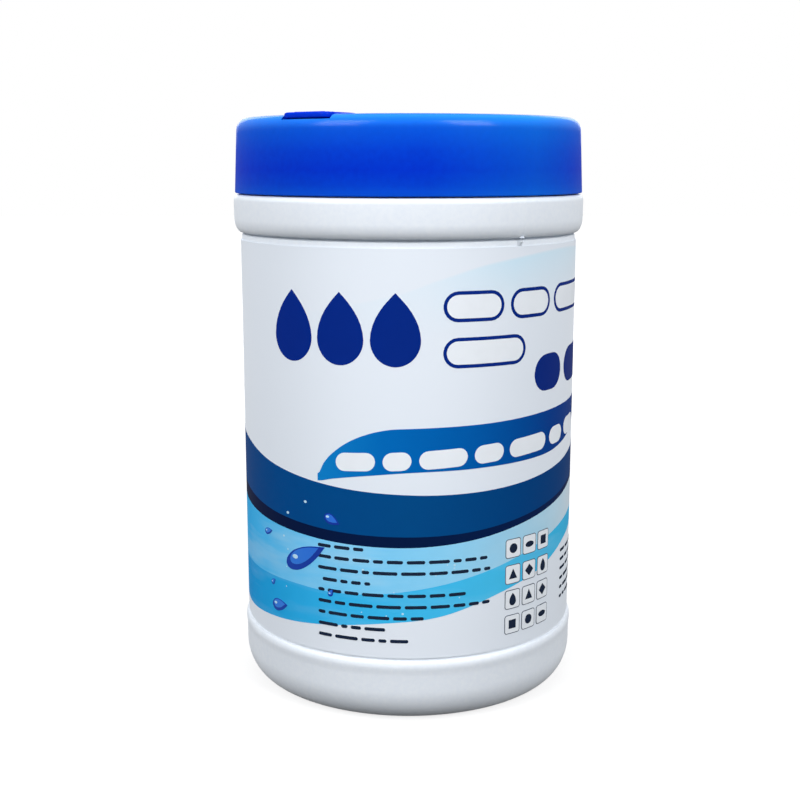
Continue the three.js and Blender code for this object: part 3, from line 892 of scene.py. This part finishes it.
def boxes():
    """Small boxes with plain shapes in them, in a grid."""
    rims = Shell()
    plates = Shell()
    marks = Shell()
    half = BOX_SIDE / 2 / MM_PER_DEGREE
    inset = BOX_RIM / MM_PER_DEGREE
    shapes = [
        disc_outline(2.6), drop_outline(2.2, 3.4), disc_outline(3.2, 1.6), [(-1.4, -1.2), (1.4, -1.2), (0, 1.5)],
        [(-1.2, -1.2), (1.2, -1.2), (1.2, 1.2), (-1.2, 1.2)], [(-1.6, 0), (0, -1.6), (1.6, 0), (0, 1.6)],
    ]
    for row, z in enumerate(BOX_Z):
        for column, psi in enumerate(BOX_PSI):
            rims.add(*bar(1, psi - half, psi + half, z, BOX_SIDE, corner=0.8))
            plates.add(*bar(2, psi - half + inset, psi + half - inset, z, BOX_SIDE - 2 * BOX_RIM, corner=0.6))
            marks.add(*blob(3, psi, z, shapes[(row * 3 + column * 2 + row // 2) % len(shapes)], 2))
    detail(rims, "box_rims", "dark_navy_ink", "box_grey")
    detail(plates, "box_plates", "label_film", "white_ink")
    detail(marks, "box_shapes", "dark_navy_ink", "small_print")


def water():
    """Drops with a dark rim, a lighter body and a glint, and fine specks of spray."""
    rims = Shell()
    bodies = Shell()
    glints = Shell()
    for psi, z, width, length, tilt in WATER:
        rims.add(*blob(2, psi, z, drop_outline(width, length, tilt, 1.1)))
        body = drop_outline(width * 0.68, length * 0.74, tilt, 1.1)
        bodies.add(*blob(3, psi - 0.05 * width / MM_PER_DEGREE, z + 0.08 * width, body, 3))
        lean = math.radians(tilt)
        across = 0.2 * length * math.sin(lean) - 0.12 * width
        up = -0.2 * length * math.cos(lean) + 0.14 * width
        glint = disc_outline(width * 0.34, width * 0.22, 16)
        glints.add(*blob(4, psi + across / MM_PER_DEGREE, z + up, glint, 2))
    dice = random.Random(5)
    for _ in range(SPRAY):
        psi = dice.uniform(-72, 20)
        z = dice.uniform(WAVE_LOW(psi) + 1, BORDER_LOW(psi) - 1.5)
        size = dice.choice((0.35, 0.45, 0.6))
        glints.add(*blob(0.5, psi, z, disc_outline(size, count=12), 1))
    for psi, z in SPECKS:
        glints.add(*blob(1, psi, z, disc_outline(0.9, 0.7, 16), 1))
    detail(rims, "water_rims", "navy_ink", "water_rim")
    detail(bodies, "water_drops", "navy_ink", "water_blue")
    detail(glints, "water_glints", "sky_ink", "glint")


# Roll of wipes

def roll():
    """An annular roll whose turns show as a fine spiral of ridges on both ends, less at the lower one."""
    pitch = (ROLL_R - ROLL_CORE) / ROLL_TURNS
    dice = random.Random(3)
    swell = [dice.uniform(-SWELL, SWELL) for _ in range(ROLL_TURNS + 2)]
    radii = [ROLL_CORE + pitch * k / ROWS_PER_TURN for k in range(ROLL_TURNS * ROWS_PER_TURN + 1)]

    def relief(radius, share):
        place = (radius - ROLL_CORE) / pitch - share
        turn = math.floor(place)
        ridge = RIDGE * math.sqrt(max(0.0, math.sin(math.pi * (place - turn))))
        edge = min(1.0, (radius - ROLL_CORE) / END_EDGE, (ROLL_R - radius) / END_EDGE)
        return (ridge + swell[turn % len(swell)]) * max(0.0, edge) - END_DROP

    points = []
    rows = []
    for end, order, strength in ((ROLL_HIGH, radii, 1), (ROLL_LOW, radii[::-1], -0.4)):
        for radius in order:
            rows.append(len(points))
            for k in range(ROLL_SIDES):
                share = k / ROLL_SIDES
                lift = relief(radius, share) * strength
                points.append(on_wall(360 * share, radius, end + (lift if strength > 0 else max(0.0, lift))))
    faces = []
    for low, high in zip(rows, rows[1:] + rows[:1]):
        for k in range(ROLL_SIDES):
            following = (k + 1) % ROLL_SIDES
            faces.append((low + k, high + k, high + following, low + following))
    return Shell((points, faces)).place("roll_of_wipes", SHARP_ROLL)


# Lid and cover, drawn with the thumb tab towards +X

def tongue(grow, z):
    """The flip cover's outline from above at one height, grown outwards by a distance."""
    radius = HEAD_R + grow
    nose_x = NOSE + grow
    nose_y = TAB_HALF + grow
    tangent = math.atan2(nose_y, nose_x) + math.acos(radius / math.hypot(nose_x, nose_y))
    barrel = BARREL_HALF + grow
    end = math.pi - math.asin(barrel / radius)
    right = [(nose_x, nose_y)]
    for k in range(HEAD_POINTS + 1):
        turn = tangent + (end - tangent) * k / HEAD_POINTS
        right.append((radius * math.cos(turn), radius * math.sin(turn)))
    right.append((-HINGE_AT, barrel))
    left = [(x, -y) for x, y in reversed(right)]
    return [(x, y, z) for x, y in right + left]


def tab(grow, z, start, end):
    """The thumb tab's outline at one height, with its two outer corners rounded."""
    half = TAB_HALF + grow
    outline = [(start, -half)]
    for centre_y, first in ((-half + TAB_CORNER, -90), (half - TAB_CORNER, 0)):
        for k in range(9):
            turn = math.radians(first + 90 * k / 8)
            outline.append((
                end - TAB_CORNER + TAB_CORNER * math.cos(turn), centre_y + TAB_CORNER * math.sin(turn)))
    outline.append((start, half))
    return [(x, y, z) for x, y in outline]


def rounded_levels(bottom, top, low_round, high_round, steps=4):
    """(height, inset) pairs of a plate whose lower and upper edges are rounded."""
    turns = [math.radians(90 * k / steps) for k in range(steps + 1)]
    lower = [(bottom + low_round * (1 - math.cos(t)), low_round * (1 - math.sin(t))) for t in turns]
    upper = [(top - high_round * (1 - math.sin(t)), high_round * (1 - math.cos(t))) for t in turns]
    return lower + upper


def recess_levels(bottom, rim):
    """(height, growth) pairs of a cutter that leaves a rounded rim at the deck."""
    turns = [math.radians(90 * k / RIM_STEPS) for k in range(1, RIM_STEPS + 1)]
    rounded = [(DECK - rim + rim * math.sin(t), rim * (1 - math.cos(t))) for t in turns]
    return [(bottom, 0.0), (DECK - rim, 0.0), *rounded, (DECK + 1.5, rim)]


def lid_shell():
    """Skirt, shoulder, deck, snap bead and plug ring."""
    centre = LID_R - LID_DRAFT - SHOULDER_R
    shoulder = DECK - SHOULDER_R
    inner_r = SHOULDER_R - LID_WALL
    skirt_in = LID_R - LID_WALL
    bead = LID_LOW + LID_BEAD_AT
    bead_proud = skirt_in - (NECK_R + NECK_BEAD_PROUD + SEAT)
    plug_low = DECK_UNDER - PLUG_DEPTH
    return turned([
        (0, DECK_UNDER),
        (PLUG_R - PLUG_WALL, DECK_UNDER),
        (PLUG_R - PLUG_WALL, plug_low + 0.3),
        (PLUG_R - PLUG_WALL + 0.2, plug_low),
        (PLUG_R - PLUG_WALL / 2, plug_low),
        (PLUG_R, plug_low + PLUG_WALL),
        (PLUG_R, DECK_UNDER),
        *arc(centre, shoulder, inner_r, inner_r, 90, 0, 6),
        *arc(skirt_in, bead, -bead_proud, LID_BEAD_WIDTH / 2, 90, -90, 8),
        (skirt_in, LID_LOW + 0.2),
        (skirt_in + 0.2, LID_LOW),
        *arc(LID_R - LIP_ROUND, LID_LOW + LIP_ROUND, LIP_ROUND, LIP_ROUND, -90, 0, 4),
        *arc(centre, shoulder, SHOULDER_R, SHOULDER_R, 0, 90, 14),
        (0, DECK),
    ])


def well():
    """The well's wall and its floor, which rises to the orifice."""
    under = WELL_FLOOR - LID_WALL
    return turned([
        (ORIFICE_R, under + PETAL_RISE), (PETAL_ROOT, under), (WELL_R + LID_WALL, under),
        (WELL_R + LID_WALL, RECESS_FLOOR - 0.02), (WELL_R + 0.3, RECESS_FLOOR - 0.02),
        *arc(WELL_R + 0.3, RECESS_FLOOR - 0.32, 0.3, 0.3, 90, 180, 4),
        (WELL_R, WELL_FLOOR + 0.4), *arc(WELL_R - 0.4, WELL_FLOOR + 0.4, 0.4, 0.4, 0, -90, 4),
        (PETAL_ROOT, WELL_FLOOR), (ORIFICE_R + 0.3, WELL_FLOOR + PETAL_RISE),
        (ORIFICE_R, WELL_FLOOR + PETAL_RISE - 0.2),
    ])


def lid():
    in_deck = DECK_UNDER + LID_WALL / 2
    pocket_back = -HINGE_AT - POCKET_ROOM
    plug_in = PLUG_R - PLUG_WALL
    rib = block(
        (plug_in - RIB_DEPTH, -RIB_THICK / 2, DECK_UNDER - RIB_DEPTH),
        (plug_in + PLUG_WALL / 2, RIB_THICK / 2, in_deck))
    slit = block((0, -SLIT / 2, WELL_FLOOR - 2 * LID_WALL), (SLIT_END, SLIT / 2, RECESS_FLOOR))
    return moulding("lid_moulding", lid_shell(), [
        ("UNION", loft([tongue(SIDE_GAP + LID_WALL, z) for z in (RECESS_FLOOR - LID_WALL, in_deck)])),
        ("UNION", block(
            (pocket_back - LID_WALL, -POCKET_HALF - POCKET_END, POCKET_FLOOR - LID_WALL),
            (-HINGE_AT + POCKET_ROOM, POCKET_HALF + POCKET_END, in_deck))),
        *(("UNION", turned_about(rib, 360 * (k + 0.5) / RIB_COUNT)) for k in range(RIB_COUNT)),
        ("DIFFERENCE", loft([tongue(SIDE_GAP + grow, z) for z, grow in recess_levels(RECESS_FLOOR, RECESS_RIM)])),
        ("DIFFERENCE", loft([
            tab(SIDE_GAP + grow, z, NOSE - TAB_CORNER, LID_R + 2)
            for z, grow in recess_levels(DECK + TAB_PROUD - TAB_THICK - SEAT, TAB_RIM)])),
        ("DIFFERENCE", turned([
            (0, RECESS_FLOOR - 2 * LID_WALL), (WELL_R + LID_WALL / 2, RECESS_FLOOR - 2 * LID_WALL),
            (WELL_R + LID_WALL / 2, RECESS_FLOOR + 0.5), (0, RECESS_FLOOR + 0.5)])),
        ("UNION", well()),
        ("DIFFERENCE", block(
            (pocket_back, -POCKET_HALF, POCKET_FLOOR),
            (-HINGE_AT + BARREL_R + SIDE_GAP, POCKET_HALF, DECK + 1))),
        ("DIFFERENCE", cross_rod(PIN_R + PIN_CLEARANCE, POCKET_HALF + PIN_LENGTH)),
        *(("DIFFERENCE", turned_about(slit, 360 * k / PETALS)) for k in range(PETALS)),
    ])


def grip(x, top):
    """A low bar across the thumb tab."""
    corners = ((-1, -1), (1, -1), (1, 1), (-1, 1))
    return loft([
        [(x + side * (GRIP_HALF - i), reach * (GRIP_REACH - i), z) for side, reach in corners]
        for z, i in ((top - 0.3, 0.0), (top + 0.03, 0.0), (top + 0.15, 0.13))])


def cover():
    top = DECK + TAB_PROUD
    seal_low = DECK - COVER_THICK - SEAL_DEPTH
    seal_in = SEAL_OUT - SEAL_WALL
    plate = loft([tongue(-inset, z) for z, inset in rounded_levels(DECK - COVER_THICK, DECK, 0.15, 0.35)])
    return moulding("cover_moulding", plate, [
        ("UNION", loft([
            tab(-inset, z, NOSE - TAB_HALF + inset * 5, TAB_END - inset)
            for z, inset in rounded_levels(top - TAB_THICK, top, 0.3, 0.6, 5)])),
        ("UNION", cross_rod(BARREL_R, BARREL_HALF, 0.15)),
        ("UNION", cross_rod(PIN_R, BARREL_HALF + PIN_LENGTH, 0.25)),
        ("UNION", turned([
            (seal_in, DECK - COVER_THICK / 2), (seal_in, seal_low + 0.2), (seal_in + 0.2, seal_low),
            (SEAL_OUT - 0.35, seal_low), (SEAL_OUT, seal_low + 0.5), (SEAL_OUT, DECK - COVER_THICK / 2)])),
        *(("UNION", grip(TAB_END - GRIP_FIRST - GRIP_PITCH * k, top)) for k in range(GRIP_COUNT)),
    ])


# Studio

def seen_directly(made):
    """1 for the rays that show the background: from the camera, in gloss and through clear things."""
    rays = node(made, "ShaderNodeLightPath").outputs
    total = rays["Is Camera Ray"]
    for name in ("Is Glossy Ray", "Is Transmission Ray"):
        total = math_node(made, "MAXIMUM", total, rays[name])
    return total


def choose(made, factor, first, second):
    """A mix of two shaders."""
    mixer = node(made, "ShaderNodeMixShader")
    link(made, factor, mixer.inputs["Fac"])
    link(made, first.outputs[0], mixer.inputs[1])
    link(made, second.outputs[0], mixer.inputs[2])
    return mixer


def sky():
    """A world that looks white and lights the scene softly, more from above."""
    made = bpy.data.worlds.new("studio")
    made.use_nodes = True
    made.node_tree.nodes.clear()
    white = node(made, "ShaderNodeBackground", Color=grey(1.0), Strength=1.0)
    light = node(made, "ShaderNodeBackground", Color=SKY_TINT)
    parts = node(made, "ShaderNodeSeparateXYZ")
    level = node(made, "ShaderNodeMapRange")
    level.inputs["To Min"].default_value = SKY_LOW
    level.inputs["To Max"].default_value = SKY_HIGH
    link(made, node(made, "ShaderNodeTexCoord").outputs["Generated"], parts.inputs[0])
    link(made, parts.outputs["Z"], level.inputs["Value"])
    link(made, level.outputs["Result"], light.inputs["Strength"])
    chosen = choose(made, seen_directly(made), light, white)
    link(made, chosen.outputs[0], node(made, "ShaderNodeOutputWorld").inputs["Surface"])
    return made


def floor_paper():
    """Paper that looks white where nothing shades it, and throws little light back on the object."""
    made = material("white_paper", grey(0.2), 0.9)
    sockets(made)["Specular IOR Level"].default_value = 0.0
    distance = node(made, "ShaderNodeVectorMath", operation="LENGTH")
    link(made, node(made, "ShaderNodeTexCoord").outputs["Object"], distance.inputs[0])
    glow = node(made, "ShaderNodeEmission", Strength=1.0)
    link(made, levels(made, distance.outputs["Value"], [(0.1, 0.78), (0.6, 1.0)]), glow.inputs["Color"])
    none = node(made, "ShaderNodeEmission", Color=grey(0.0), Strength=0.0)
    seen = seen_directly(made)
    nodes = made.node_tree.nodes
    total = node(made, "ShaderNodeAddShader")
    link(made, nodes["Principled BSDF"].outputs[0], total.inputs[0])
    link(made, choose(made, seen, none, glow).outputs[0], total.inputs[1])
    link(made, total.outputs[0], nodes["Material Output"].inputs["Surface"])
    tone = levels(made, grain(made, 60, 0.02, 0.0002), [(0.3, 0.24), (0.7, 0.27)])
    link(made, mix(made, seen, grey(0.05), tone), sockets(made)["Base Color"])
    return made


def floor():
    reach = FLOOR_REACH
    corners = [(-reach, -reach, 0), (reach, -reach, 0), (reach, reach, 0), (-reach, reach, 0)]
    ground = Shell((corners, [(0, 1, 2, 3)])).place("floor")
    ground.data.materials.append(floor_paper())


def area_light(name, spot, aim, width, height, watts):
    lamp = bpy.data.lights.new(name, "AREA")
    lamp.shape = "RECTANGLE"
    lamp.size = width
    lamp.size_y = height
    lamp.energy = watts
    item = bpy.data.objects.new(name, lamp)
    item.location = spot
    item.rotation_euler = (Vector(aim) - Vector(spot)).to_track_quat("-Z", "Y").to_euler()
    bpy.context.scene.collection.objects.link(item)


def camera():
    """The photograph's viewpoint, fitted to the canister's outlines."""
    data = bpy.data.cameras.new("photo_view")
    data.lens = CAMERA_LENS
    data.sensor_width = 36.0
    data.clip_start = 0.01
    data.clip_end = 20.0
    item = bpy.data.objects.new("photo_view", data)
    item.location = tuple(value * MM for value in CAMERA_AT)
    item.rotation_euler = (math.radians(90 - CAMERA_DOWN), 0, math.radians(CAMERA_TURN))
    bpy.context.scene.collection.objects.link(item)
    bpy.context.scene.camera = item


# Inks as (psi, colour) stops, then streaks and gloss where they differ from printed()'s own
INKS = {name: printed(name, *look) for name, look in {
    "sky_ink": ([
        (-170, (150, 205, 235)), (-72, (50, 178, 240)), (-35, (108, 202, 250)), (10, (140, 212, 248)),
        (50, (176, 217, 238)), (75, (215, 230, 240)), (170, (150, 205, 235))], 0.28),
    "mid_blue_ink": ([
        (-170, (40, 155, 218)), (-72, (10, 154, 222)), (-20, (54, 184, 240)), (30, (72, 194, 240)),
        (65, (62, 188, 234)), (170, (40, 155, 218))], 0.12),
    "dark_navy_ink": ([
        (-170, (8, 30, 74)), (-72, (2, 20, 60)), (0, (2, 24, 64)), (70, (2, 30, 78)), (170, (8, 30, 74))],),
    "navy_ink": ([
        (-170, (4, 62, 120)), (-72, (0, 66, 130)), (-45, (0, 72, 138)), (0, (2, 72, 132)),
        (40, (0, 64, 126)), (75, (0, 56, 116)), (170, (4, 62, 120))],),
    "bright_blue_ink": ([
        (-30, (16, 128, 202)), (-8, (2, 104, 184)), (25, (0, 86, 166)), (55, (0, 58, 138)), (90, (2, 46, 120))],),
    "small_print": ([(0, (26, 38, 60))],),
    "figure_navy": ([(-50, (4, 40, 134)), (80, (8, 40, 120))],),
    "white_ink": ([(0, (236, 241, 247))],),
    "box_grey": ([(0, (88, 98, 112))],),
    "water_rim": ([(-60, (22, 74, 176)), (-30, (16, 54, 158))], 0.0, 0.2),
    "water_blue": ([(-60, (58, 134, 226)), (-30, (44, 112, 216))], 0.0, 0.2),
    "glint": ([(0, (190, 226, 246))],),
}.items()}

settle(canister(), "canister", "white_plastic", blow_moulded(), "canister")
settle(label(), "canister", "label_film", label_film(), "label")
print_fields()
print_shapes()
boxes()
water()
settle(roll(), "canister", "wipe_fabric", wipe_cloth(), "wipes_roll")
settle(lid(), "lid", "blue_plastic", lid_plastic(), "lid")
settle(cover(), "flip_cover", "blue_plastic", cover_plastic(), "flip_cover")

bpy.context.scene.view_settings.view_transform = "Standard"
bpy.context.scene.world = sky()
floor()
for lamp in LAMPS:
    area_light(*lamp)
camera()
